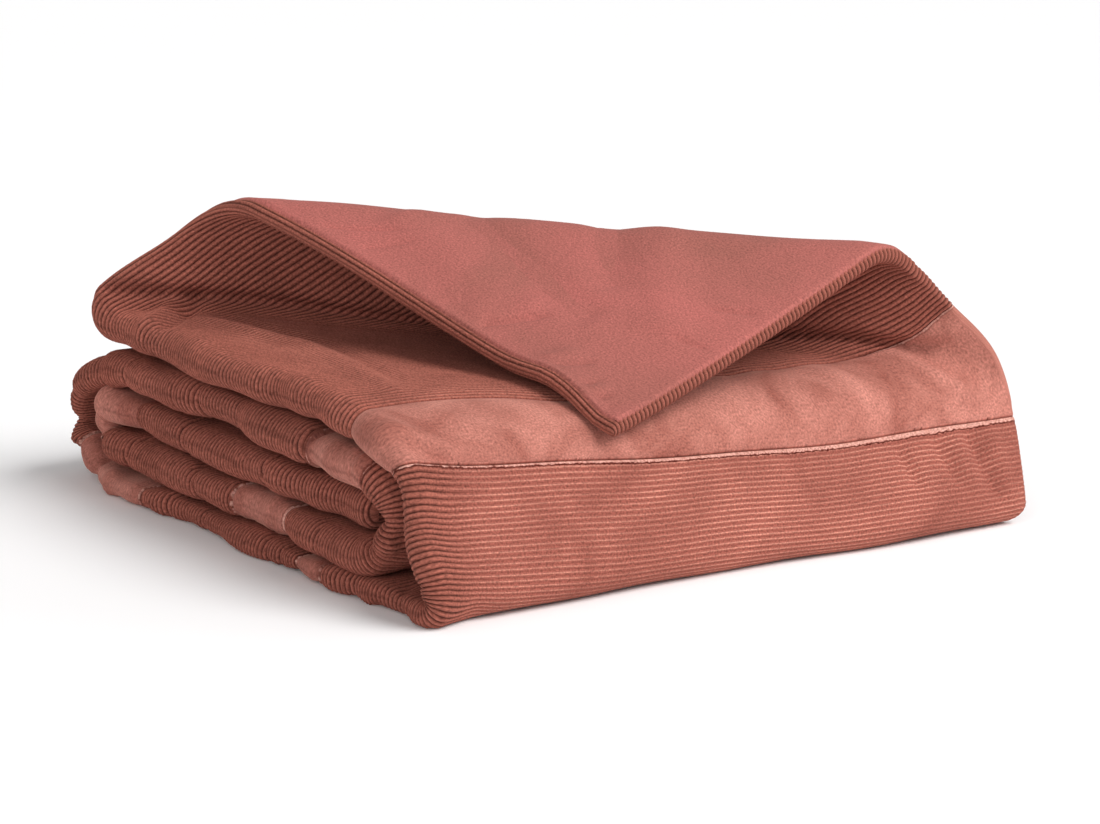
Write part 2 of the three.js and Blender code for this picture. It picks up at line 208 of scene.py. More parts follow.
def ply_middle(across, station):
    """Middle of a ply. Across runs from the left fold, above nought on the outer ply and below
    nought on the inner one."""
    across, station = np.broadcast_arrays(np.asarray(across, float), np.asarray(station, float))
    y, z, ny, nz, half, left, right = strip_middle(station)

    # Round the left fold
    off = half / 2 + PLY_GAP / 4
    bend = np.pi * off / 2
    turn = np.clip((across + bend) / (2 * bend), 0, 1)
    beyond = np.maximum(0, np.abs(across) - bend)
    x = (left * (1 - smooth(beyond / FOLD_REACH)) + off * (1 - np.sin(np.pi * turn))
         + beyond * right / RIGHT_EDGE)
    side = -off * np.cos(np.pi * turn)
    flat = settle(x, y + ny * side, z + nz * side)

    # Over the valley line, where the cloth bulges 6 mm out and 4 mm up beside the left fold
    cloth = laid_out(station, y) - VALLEY_Y
    past = x * ACROSS_X + cloth * ACROSS_Y
    along = x * ALONG_X + cloth * ALONG_Y
    reach, rise, landing = turned_profile(np.maximum(past, 0), along)
    foot_x, foot_y = along * ALONG_X, VALLEY_Y + along * ALONG_Y
    blend = smooth(past / VALLEY_BLEND)
    bulge = np.sin(np.pi * np.clip(past / 110, 0, 1)) * (1 - smooth(x / 60))
    gx = mix(flat[0] + (reach - past) * ACROSS_X, foot_x + reach * ACROSS_X, blend) - 6 * bulge
    gy = mix(flat[1] + (reach - past) * ACROSS_Y, foot_y + reach * ACROSS_Y, blend)
    gz = mix(flat[2], top_height(foot_x, np.maximum(foot_y, 40)), blend) + rise + 4 * bulge

    # The flap comes to rest softly on the layer below it
    rest = top_height(gx, gy) + FLAP_REST
    over = gz - rest
    gz = mix(gz, rest + 0.5 * (over + np.hypot(over, FLAP_SOFTNESS)), landing)
    share = np.where((station >= TOP_ROW - 1) & (past > 0), smooth(turn), 0)
    return np.stack([mix(f, g, share) for f, g in zip(flat, (gx, gy, gz))], -1)


def ply_normal(across, station):
    """Direction out of a ply, from places a little way off on each side."""
    step_across, step_along = 0.4, 0.01
    a = ply_middle(across + step_across, station) - ply_middle(across - step_across, station)
    b = ply_middle(across, np.minimum(station + step_along, LAST_ROW))
    b = b - ply_middle(across, np.maximum(station - step_along, 0))
    n = np.cross(a, b)
    return n / np.linalg.norm(n, axis=-1, keepdims=True)


def distance_from_end(stations):
    """Distance along the face of the outer ply from its outer end to each station."""
    y, z, ny, nz, half, _, _ = strip_middle(stations)
    steps = np.hypot(np.diff(y + ny * half), np.diff(z + nz * half))
    return np.concatenate([np.cumsum(steps[::-1])[::-1], [0.0]])


STATIONS = np.linspace(0, LAST_ROW, 6001)
FROM_END = distance_from_end(STATIONS)
STRIP_LENGTH = float(FROM_END[0])


def ply_surface(across, side, distance, thin, lift):
    """Point on a ply: side is 1 on its face and -1 inside, thin is 1 at full thickness, and lift
    stands out from it."""
    station = np.interp(distance, FROM_END[::-1], STATIONS[::-1])
    y, _, _, _, half, _, _ = strip_middle(station)
    reach = side * (thin * (half - PLY_GAP / 2) * pressed(np.abs(across), y) / 2 + lift)
    point = ply_middle(across, station) + ply_normal(across, station) * reach[..., None]
    point[..., 2] = np.maximum(point[..., 2], 0)
    return point


# The pattern on the cloth. Across is the distance from the left fold and down the distance along
# the strip from its outer end.

# Eight wales to the inch, and the panels sewn along the strip, each with the place where it stops
WALE = 25.4 / 8
PANELS = [
    ("corduroy", 286), ("velvet", 338), ("corduroy", 529), ("velvet", 557), ("corduroy", 725),
    ("velvet", 822), ("corduroy", 1150), ("velvet", 1214), ("corduroy", 1383), ("velvet", 1432),
    ("corduroy", 1596), ("velvet", 1680), ("corduroy", STRIP_LENGTH),
]
PANEL_ENDS = [end for _, end in PANELS]
SEAMS = PANEL_ENDS[:-1]
UPPER_SEAM, LOWER_SEAM = SEAMS[0], SEAMS[1]

# Heights in the face: full wales run from 0.7 below the solid's face to 0.3 above it, and worn ones
# keep a quarter of that. Velvet lies a little below it. Each seam is a soft hollow with a sharp
# groove in it, and a raised strip runs under the front's lower seam.
WALE_LOW, WALE_SINK = 0.45, 0.25
WORN_AWAY = 0.75
WALE_ROUNDNESS = 0.7
VELVET_LOW = 0.15
HOLLOW, HOLLOW_WIDTH = 1.3, 6.0
GROOVE, GROOVE_WIDTH = 1.2, 0.7
RAISED_STRIP, STRIP_WIDTH = 0.9, 1.2

# A fold's height fades out over this distance at each end
FOLD_FADE = 12


def is_velvet(down):
    """Whether a place along the strip is on a velvet panel."""
    panel = np.searchsorted(SEAMS, down, side="right")
    return np.array([name == "velvet" for name, _ in PANELS])[panel]


def pulled(across, down):
    """How far the cloth is pulled along the strip, away from its straight pattern: by up to 21 mm
    at the front velvet's upper seam and 23 mm at its lower one."""
    a = np.abs(across)
    upper = 22 * bump(a, 138, 60) + 4 * smooth((a - 200) / 100) + 5 * bump(a, 372, 22) - 1
    lower = 24 * (1 - np.exp(-a / 130))
    share = (down - UPPER_SEAM) / (LOWER_SEAM - UPPER_SEAM)
    held = mix(lower, 0, smooth((down - 430) / 270))
    above = upper * smooth(down / UPPER_SEAM)
    shift = np.where(down < UPPER_SEAM, above, mix(upper, held, smooth(share)))

    # Loose cloth beside the left fold, and a waver everywhere, both fading at the hems
    loose = np.exp(-a / 16) * (1.5 * np.sin(down / 14) + 0.9 * np.sin(down / 6.3 + 1))
    waver = 0.5 * np.sin(a / 19 + down / 57) + 0.5 * np.sin(a / 41 - down / 31)
    fade = smooth(down / 25) * smooth((STRIP_LENGTH - down) / 25)
    return shift + fade * (loose + waver)


def wale_height(down):
    """Height of the corduroy, 1 on the crest of each wale and 0 in the groove."""
    return np.abs(np.sin(np.pi * down / WALE)) ** WALE_ROUNDNESS


def seam_distance(down):
    """Distance to the nearest seam across the strip, and which seam it is."""
    gap = down[..., None] - np.array(SEAMS, float)
    near = np.abs(gap).argmin(-1)
    return np.take_along_axis(gap, near[..., None], -1)[..., 0], near


def past_valley(across, down):
    """Distance past the valley line of the turned corner, on the outer ply."""
    return across * ACROSS_X + (TOP_END - down - VALLEY_Y) * ACROSS_Y


def line_bump(across, down, start, end, width):
    """1 along a line between two places on the cloth, falling away beside it and past its ends."""
    (a0, d0), (a1, d1) = start, end
    length = math.hypot(a1 - a0, d1 - d0)
    along = ((across - a0) * (a1 - a0) + (down - d0) * (d1 - d0)) / length
    beside = ((across - a0) * (d1 - d0) - (down - d0) * (a1 - a0)) / length
    from_start, from_end = along / FOLD_FADE + 0.5, (length - along) / FOLD_FADE + 0.5
    return bump(beside, 0, width) * smooth(from_start) * smooth(from_end)


# Folds and pulls in the cloth: height, width, and the places across and down of both ends
FOLDS = [
    (3.2, 5.0, (46, 24), (0, 57)),       # pleat at the left end of the valley
    (-3.4, 4.5, (54, 34), (8, 68)),
    (2.2, 6.0, (32, 66), (56, 140)),     # soft crest in front of the valley
    (2.2, 6.0, (56, 140), (36, 270)),
    (-1.8, 5.0, (48, 62), (70, 140)),
    (-1.8, 5.0, (70, 140), (52, 250)),
    (3.6, 3.8, (352, 297), (384, 330)),  # diagonal folds in the velvet at the right
    (-3.4, 5.5, (359, 288), (398, 319)),
    (-1.8, 6.0, (330, 300), (366, 336)),
    (1.5, 5.0, (300, 296), (322, 334)),
    (-1.4, 6.0, (284, 294), (300, 334)),
    (2.0, 5.0, (4, 312), (34, 331)),     # puckers at the left end of the front velvet
    (-2.2, 4.0, (0, 322), (28, 337)),
    (1.4, 7.0, (34, 300), (70, 332)),
    (1.6, 4.0, (384, 345), (394, 392)),  # pulls under the lower seam at the right
    (-3.4, 4.0, (368, 344), (382, 384)),
    (1.4, 4.0, (358, 344), (368, 380)),
    (-2.8, 4.0, (344, 344), (356, 372)),
    (-3.0, 3.6, (318, 346), (328, 372)),
    (-2.4, 10.0, (20, 346), (30, 425)),  # dip behind the rolled left edge of the front face
    (1.2, 6.0, (6, 350), (9, 470)),
    (-1.6, 4.0, (2, 478), (30, 500)),    # crumples at the lower left corner
    (1.6, 4.0, (4, 488), (34, 512)),
    (-1.6, 4.0, (0, 500), (26, 524)),
    (-4.0, 6.0, (-14, 838), (16, 854)),  # pinches where the bottom layers turn at the back
    (3.2, 6.0, (-14, 820), (16, 836)),
    (3.6, 8.0, (-10, 772), (12, 764)),
    (-3.0, 6.0, (-12, 796), (12, 790)),
    (-3.4, 5.0, (-14, 1244), (14, 1262)),  # and where they turn at the front
    (-3.0, 5.0, (-14, 1286), (14, 1272)),
    (-3.0, 5.0, (-14, 1612), (14, 1630)),
    (2.6, 5.0, (-14, 1640), (14, 1650)),
]


def pinches():
    """Short sharp creases across the lengthwise fold, about 43 mm apart from the front's head to
    the inner end, with uneven places, slants, depths and widths."""
    first, spacing, count = 395, 43, 34
    creases = []
    for k in range(count):
        down = first + spacing * k + 13 * math.sin(2.3 * k)
        slant = 16 * math.sin(1.9 * k + 1)
        depth = -1.3 - 0.7 * math.sin(3.1 * k)
        creases.append((depth, 3.0 + math.sin(1.3 * k), (-16, down), (13, down + slant)))
    return creases


def brushed(across, down):
    """1 where the pile is worn flat and only the crests of the wales catch the light: on the front
    face, and about half as much on the top in front of the valley."""
    a = np.abs(across)
    front = smooth((down - 330) / 8) * (1 - smooth((down - 535) / 20)) * smooth((a - 10) / 30)
    top = 0.45 * (down < 290) * smooth((a - 10) / 30) * (past_valley(across, down) < 0)
    return np.where(across > 0, np.maximum(front, top), 0)


def face_lift(across, down, side, covered):
    """How far the face stands out from the solid's: wales, seams, swelling, crumples, puckers, folds
    and the valley's crease."""
    gap, near = seam_distance(down)
    a = np.abs(across)
    relief = 1.0 - WORN_AWAY * brushed(across, down)
    beside_seam = smooth((np.abs(gap) - 0.5) / 0.8)
    wales = relief * wale_height(down) * beside_seam - WALE_LOW - WALE_SINK * relief
    wales = np.where(is_velvet(down), -VELVET_LOW, wales)
    dip = -HOLLOW * bump(gap, 0, HOLLOW_WIDTH) - GROOVE * bump(gap, 0, GROOVE_WIDTH)
    strip = np.where(near == 1, RAISED_STRIP * bump(gap, 2.0, STRIP_WIDTH) * (gap > 0), 0)

    # Swelling over the filling, crumples beside the left fold and puckers beside the front's seams
    swell = 0.8 * np.sin(a / 23 + down / 37) * np.sin(a / 51 - down / 29)
    crumple = np.exp(-a / 20) * (0.9 * np.sin(down / 8.5 + 2 * np.sin(down / 37) + a / 15)
                                 + 0.7 * np.sin(down / 15.7 - a / 9 + 1.3))
    pucker = 0.6 * np.sin(a / 4.6 + 1.7 * np.sin(a / 31)) * smooth((a - 40) / 200)
    pucker = pucker * ((near == 1) | (near == 0)) * np.exp(-np.abs(gap) / 14)

    # Folds and pulls, and the valley's crease between two soft crests
    folds = sum(height * line_bump(across, down, start, end, width)
                for height, width, start, end in FOLDS + pinches())
    past = past_valley(across, down)
    valley = 1.2 * bump(past, 13, 6) + 2.6 * bump(past, 32, 6) - 4.4 * bump(past, 23, 3.2)
    valley = valley * smooth((across - 5) / 20) * (down < 300)
    soft = dip + strip + swell + crumple + pucker + folds + valley
    return covered * wales + np.maximum(side, 0) * soft


def trim_marks(across, down):
    """For the colours: distance from the middle of the nearest seam's thread line and half that
    line's width, both in millimetres, and how worn the pile is. The line is 1.2 mm wide, and the
    front's lower one widens from 1.5 to 3 mm to the right."""
    gap, near = seam_distance(down)
    half = np.where(near == 1, mix(0.75, 1.5, smooth(across / 380)), 0.6)
    return np.stack([np.abs(gap - half), half, brushed(across, down)], -1)


# Making the pieces

# Material slots of the padded cloth
CORDUROY, VELVET, COTTON = 0, 1, 2

# Roundings at the ends of a length: at a seam, at the outer hem and at the inner hem. One past
# FREE_END is a hem, and the pattern runs on round it by HEM_RUN for each radian. At a seam the
# rounding is sunk below the face.
SEAM_CAP, OUTER_CAP, INNER_CAP = 1.2, 4.4, 4.0
FREE_END = 3.0
HEM_RUN = 4.6
CAP_SINK = 0.4

# Width of the left fold, and the spacing of places across it
FOLD_WIDTH = 9.0
FOLD_STEP = 1.5


def grid_piece(name, points, cloth, trim, slots, wrap):
    """Mesh of a grid of points, with its place on the cloth and its seam marks at each point."""
    rows, columns = points.shape[:2]
    bm = bmesh.new()
    bmesh.ops.create_grid(bm, x_segments=columns - 1, y_segments=rows - 1, size=0.5)
    cloth_layer = bm.verts.layers.float_vector.new("cloth")
    trim_layer = bm.verts.layers.float_vector.new("trim")
    places = ((points - ORIGIN) * MM).reshape(-1, 3).tolist()
    cloth = cloth.reshape(-1, 3).tolist()
    trim = trim.reshape(-1, 3).tolist()
    for vert, place, on_cloth, on_trim in zip(bm.verts, places, cloth, trim):
        vert.co = place
        vert[cloth_layer] = on_cloth
        vert[trim_layer] = on_trim
    for face, slot in zip(bm.faces, slots.ravel().tolist()):
        face.material_index = slot
        face.smooth = True
    if wrap:
        close_piece(bm, rows, columns)
    mesh = bpy.data.meshes.new(name)
    bm.to_mesh(mesh)
    bm.free()
    piece = bpy.data.objects.new(name, mesh)
    bpy.context.scene.collection.objects.link(piece)
    return piece


def close_piece(bm, rows, columns):
    """Joins the grid round the section and at its two ends, which have come together."""
    verts = list(bm.verts)
    ends = verts[:columns] + verts[-columns:]
    sides = [verts[i * columns + j] for i in range(1, rows - 1) for j in (0, columns - 1)]
    touching = 0.02 * MM
    bmesh.ops.remove_doubles(bm, verts=ends + sides, dist=touching)
    open_edges = [edge for edge in bm.edges if edge.is_boundary]
    bmesh.ops.holes_fill(bm, edges=open_edges, sides=0)
    bmesh.ops.recalc_face_normals(bm, faces=bm.faces)


def section(outer, inside, inner):
    """Places round the doubled strip: across, side, and how far out round the hem. Outer and inside
    are the places across both faces of the outer ply, from the fold to the hem, and inner those
    across the inner ply."""
    start = RIGHT_EDGE - HEM_ROLL
    angles = np.radians(np.arange(90, -91, -22.5))
    hem = np.stack([start + np.cos(angles) * HEM_ROLL, np.sin(angles), np.cos(angles)], -1)
    inner_hem = (hem * (-1, 1, 1))[::-1]

    def run(places, side):
        return np.array([(place, side, 0.0) for place in places])

    fold = np.arange(0, FOLD_WIDTH, FOLD_STEP)
    return np.concatenate([
        run(fold, 1), run(outer, 1), hem, run(inside[::-1], -1),
        run(-inner, -1), inner_hem, run(-inner[::-1], 1), run(-fold[::-1], 1),
    ])


def station_rows(start, end, first_cap, last_cap):
    """Rows along a piece from seam to seam, with its rounded ends: place, angle of the rounding and
    radius. Four rows go to a wale, and rows are closer at the seams."""
    seams = [seam for seam in SEAMS if start + 5 < seam < end - 5]
    seam_rows = np.array([-1.4, -0.9, -0.5, 0.0, 0.5, 0.9, 1.4])
    beside_seam = 1.9
    velvet_step, wale_step = 2.0, WALE / 4
    places = []
    edges = [start] + seams + [end]
    for a, b in zip(edges, edges[1:]):
        step = velvet_step if is_velvet(np.array((a + b) / 2)) else wale_step
        first, last = math.ceil((a + beside_seam) / step), math.floor((b - beside_seam) / step)
        places.extend(np.arange(first, last + 1) * step)
    for seam in seams:
        places.extend(seam + seam_rows)
    places = np.array(sorted(places))
    places = places[(places > start + first_cap + 0.3) & (places < end - last_cap - 0.3)]

    def cap(place, radius, way):
        angles = np.radians(np.linspace(0, 90, 4 if radius < FREE_END else 11))
        return [(place, angle, way * radius) for angle in angles]

    middle = [(place, math.pi / 2, 0.0) for place in places]
    return np.array(cap(start, first_cap, 1) + middle + cap(end, last_cap, -1)[::-1])


def quilt_piece(name, start, end, columns, first_cap, last_cap):
    """One length of the padded strip, closed all round, between two seams."""
    rows = station_rows(start, end, first_cap, last_cap)
    place, angle, radius = (rows[:, k, None] for k in range(3))
    across, side, out = (columns[None, :, k] for k in range(3))

    # Nought at every point of the grid, which spreads a row or a column over all of it
    whole = 0 * (place + across)
    hem = np.abs(radius) > FREE_END
    seam_cap = (np.abs(radius) > 0) & ~hem
    round_the_hem = np.sign(radius) * (np.abs(radius) - (math.pi / 2 - angle) * HEM_RUN)
    down = place + np.where(hem, round_the_hem, radius)

    # The face's cloth laps over the hems, and the inside is cotton
    covered = np.where(side > -0.5, 1.0, smooth((np.abs(across) - 396) / 2))
    covered = np.where(hem & (side < 0), 1.0, covered)
    lift = face_lift(across + whole, down + whole, side + whole, covered + whole)
    lift = np.where(seam_cap, -CAP_SINK, lift)
    rim = face_lift(across + whole, down + whole, whole, covered + whole)
    rim = np.where(seam_cap, -CAP_SINK, rim)

    # Rim stands out round the edges, where both faces have to meet
    pattern = place + radius * (1 - np.cos(angle))
    distance = pattern + pulled(across, pattern) - np.sign(radius) * np.cos(angle) * rim * hem
    distance = np.clip(distance, 0, STRIP_LENGTH)
    spread = across + np.sign(across) * out * rim
    thin = np.sin(angle)
    points = ply_surface(spread, side + whole, distance, thin + whole, lift * thin)
    face = np.where(is_velvet(pattern + whole), VELVET, CORDUROY)
    slots = np.where(covered < 0.5, COTTON, face)[:-1, :-1]
    cloth = np.stack([(across + whole) * MM, down * MM + whole, side + whole], -1)
    trim = trim_marks(across + whole, down + whole)
    points, cloth, trim = (np.concatenate([x, x[:, :1]], 1) for x in (points, cloth, trim))
    slots = np.concatenate([slots, slots[:, -1:]], 1)
    return grid_piece(name, points, cloth, trim, slots, True)


# The lining on the laid-out top layer: x where it starts beside the fold and stops at the side hem,
# y where it stops at the end hem, how far past the valley line its tip is, and about how long its
# rows are. It stands off the ply, and along its edges is tucked as far into it.
LINING_LEFT, LINING_RIGHT = 26, 399.0
LINING_END = 345.6
LINING_TIP = 263.5
LINING_ROW = 275
LINING_STAND = 1.3
TUCK_WIDTH = 2.2
LINING_THICKNESS = 0.5

# Marks that keep the lining clear of threads: far from any seam, a fine line, and no wear
NO_SEAM = (9.0, 0.6, 0.0)

# Creases in the lining: height, width, and both ends in x and y on the laid-out top layer. Every
# height is taken CREASE_DEPTH times.
CREASE_DEPTH = 1.7
CREASES = [
    (-1.3, 2.2, (295, 348), (294, 334)),   # pulls from the end hem
    (-1.3, 2.6, (294, 335), (311, 306)),
    (1.0, 7.0, (282, 336), (300, 300)),
    (-1.2, 2.2, (347, 348), (349, 338)),
    (-1.0, 2.6, (349, 339), (357, 318)),
    (0.9, 5.0, (338, 338), (346, 318)),
    (-1.2, 1.8, (366, 347), (370, 330)),   # puckers at the corner
    (0.9, 2.4, (371, 347), (376, 328)),
    (-1.2, 1.8, (376, 347), (381, 332)),
    (-1.0, 1.8, (385, 347), (388, 336)),
    (1.6, 16.0, (190, 300), (285, 318)),   # long soft waves
    (-1.4, 12.0, (215, 270), (330, 290)),
    (1.5, 16.0, (300, 200), (365, 270)),
    (-1.2, 12.0, (270, 210), (320, 262)),
    (-0.9, 2.6, (388, 220), (366, 236)),   # pulls from the side hem
    (-0.9, 2.6, (390, 262), (372, 268)),
    (-0.8, 2.2, (170, 340), (204, 310)),   # pulls from the end hem at the left
    (-0.7, 2.0, (200, 338), (216, 314)),
]


def lining_wrinkles(x, y):
    """Soft swelling of the cotton over the filling, creases, and puckers near the hems."""
    swell = 0.6 * np.sin(x / 21 + y / 33) * np.sin(x / 37 - y / 26)
    near_side = 0.6 * np.sin(y / 5.5 + 2 * np.sin(y / 17)) * np.exp(-(LINING_RIGHT - x) / 8)
    near_end = 0.7 * np.sin(x / 6.5 + 2 * np.sin(x / 19)) * np.exp(-(LINING_END - y) / 8)
    creases = sum(CREASE_DEPTH * height * line_bump(x, y, start, end, width)
                  for height, width, start, end in CREASES)
    return swell + near_side + near_end + creases


def cloth_station(cloth_y):
    """Station of a place on the laid-out top layer."""
    stations = np.linspace(TOP_ROW - 1, LAST_ROW, 3001)
    return np.interp(cloth_y, laid_out(stations, strip_middle(stations)[0]), stations)


def lining_piece(name, ply, first, step):
    """Cotton sewn over the inside of a ply past the valley line, tucked in along its edges."""
    pasts = np.arange(first, LINING_TIP, step)[:, None]
    fraction = np.linspace(0, 1, round(LINING_ROW / step))[None, :]
    left = (pasts - (LINING_END - VALLEY_Y) * ACROSS_Y) / ACROSS_X
    x = mix(np.maximum(LINING_LEFT, left), LINING_RIGHT, fraction)
    cloth_y = VALLEY_Y + (pasts - x * ACROSS_X) / ACROSS_Y
    station = cloth_station(cloth_y)
    y, _, _, _, half, _, right = strip_middle(station)
    off = half / 2 + PLY_GAP / 4
    across = (x - off) * RIGHT_EDGE / right + np.pi * off / 2
    thickness = (half - PLY_GAP / 2) * pressed(across, y) / 2
    to_hems = np.minimum(LINING_RIGHT - x, LINING_END - cloth_y)
    edge = np.minimum(to_hems, np.minimum(x - LINING_LEFT, (pasts - first) * 2))
    tuck = 1 - smooth(edge / TUCK_WIDTH)
    wrinkle = lining_wrinkles(x, cloth_y) * smooth(edge / 12)
    out = thickness + LINING_STAND * (1 - 2 * tuck) + wrinkle
    points = ply_middle(ply * across, station) - ply_normal(ply * across, station) * out[..., None]
    cloth = np.stack([x * MM, cloth_y * MM, 0 * x], -1)
    slots = np.zeros((points.shape[0] - 1, points.shape[1] - 1), int)
    piece = grid_piece(name, points, cloth, 0 * cloth + NO_SEAM, slots, False)
    thick = piece.modifiers.new("cotton", "SOLIDIFY")
    thick.thickness = LINING_THICKNESS * MM
    thick.offset = -1
    return piece


# Materials

# Sizes of their patterns in millimetres. Pile is about 0.02 mm thick and the lining's threads 0.2,
# too fine to show, so both are drawn as grain of a little over 1 mm, as coarse as needed to show.
PILE_GRAIN = 1.25
WEAVE_GRAIN = 1.1765
TUFT = 3.846              # tufts of pile along a wale, a little longer than the wale is wide
THREAD_EDGE = 2.381       # unevenness of a seam thread's edges
THREAD_TUFT = 1.1111      # its tufts
CORDUROY_WASH = 71.43     # patches left by washing and wear
VELVET_LIE = 50.0         # patches where the pile lies one way
COTTON_WASH = 111.11      # patches left by washing
COTTON_CRUMPLE = 18.182   # soft crumples in the cotton


def linear(code):
    """sRGB hex to the linear colour that a shader takes."""
    parts = [int(code[i:i + 2], 16) / 255 for i in (1, 3, 5)]
    return tuple(p / 12.92 if p <= 0.04045 else ((p + 0.055) / 1.055) ** 2.4 for p in parts) + (1.0,)


def new_material(name, finish):
    """A material and its shader, with the given values and hex colours on the shader's sockets."""
    material = bpy.data.materials.new(name)
    material.use_nodes = True
    shader = material.node_tree.nodes["Principled BSDF"]
    for key, value in finish.items():
        shader.inputs[key].default_value = linear(value) if isinstance(value, str) else value
    return material, shader


def add_node(material, kind, inputs, output=0, **settings):
    """Adds a node with its settings and links, and gives one of its outputs. An input is a value, a
    hex colour or another node's output."""
    tree = material.node_tree
    node = tree.nodes.new("ShaderNode" + kind)
    for key, value in settings.items():
        setattr(node, key, value)
    for key, value in inputs.items():
        if isinstance(value, bpy.types.NodeSocket):
            tree.links.new(value, node.inputs[key])
        else:
            node.inputs[key].default_value = linear(value) if isinstance(value, str) else value
    return node.outputs[output]


def band(material, value, low, high, soft):
    """1 where a value lies between two others, with soft sides."""
    rise = add_node(material, "Math", {0: value, 1: 1 / soft, 2: -low / soft},
                    operation="MULTIPLY_ADD", use_clamp=True)
    fall = add_node(material, "Math", {0: value, 1: -1 / soft, 2: high / soft},
                    operation="MULTIPLY_ADD", use_clamp=True)
    return add_node(material, "Math", {0: rise, 1: fall}, operation="MULTIPLY")


def shade(material, colour, amount, pattern):
    """Makes a colour darker and lighter by a pattern that runs from 0 to 1."""
    value = add_node(material, "Math", {0: pattern, 1: amount, 2: 1 - amount / 2},
                     operation="MULTIPLY_ADD")
    return add_node(material, "HueSaturation", {"Value": value, "Color": colour})


def finish_cloth(material, shader, cloth, colour, height, strength, depth):
    """Links the colour and the bump to the shader, with the bump's depth in millimetres. The seams'
    threads, in tufts, and painted shade in their grooves go over the colour, with uneven edges."""
    trim = add_node(material, "Attribute", {}, "Vector", attribute_name="trim")
    off, half, _ = add_node(material, "SeparateXYZ", {0: trim}).node.outputs
    edge = add_node(material, "TexNoise", {
        "Vector": cloth, "Scale": 1 / (THREAD_EDGE * MM), "Detail": 2.0, "Roughness": 0.6,
    }, "Fac")
    uneven = add_node(material, "Math", {0: edge, 1: 2.4, 2: -1.2}, operation="MULTIPLY_ADD")

    # Past is how far a point is past the thread's uneven edge, in millimetres
    past = add_node(material, "Math", {0: off, 1: half}, operation="SUBTRACT")
    past = add_node(material, "Math", {0: past, 1: uneven}, operation="ADD")

    # The thread goes from its middle to its edge, with gaps between its tufts
    tufts = add_node(material, "TexNoise", {
        "Vector": cloth, "Scale": 1 / (THREAD_TUFT * MM), "Detail": 1.0, "Roughness": 0.6,
    }, "Fac")
    tufts = add_node(material, "Math", {0: tufts, 1: 2.0, 2: -0.35},
                     operation="MULTIPLY_ADD", use_clamp=True)
    thread = add_node(material, "Math", {0: band(material, past, -9.0, 0.1, 0.4), 1: tufts},
                      operation="MULTIPLY")

    # The groove is the millimetre beside it, painted in shade, and the painted shade is darker beside
    # a wider thread
    dark = add_node(material, "Math", {0: half, 1: 2.5, 2: -1.1},
                    operation="MULTIPLY_ADD", use_clamp=True)
    groove = add_node(material, "Math", {0: band(material, past, -0.1, 1.0, 0.4), 1: dark},
                      operation="MULTIPLY")
    colour = add_node(material, "Mix", {0: thread, 6: colour, 7: "#e0aa9b"}, 2, data_type="RGBA")
    colour = add_node(material, "Mix", {0: groove, 6: colour, 7: "#4a160f"}, 2, data_type="RGBA")
    bumps = add_node(material, "Bump", {
        "Strength": strength, "Distance": depth * MM, "Height": height,
    })
    material.node_tree.links.new(colour, shader.inputs["Base Color"])
    material.node_tree.links.new(bumps, shader.inputs["Normal"])


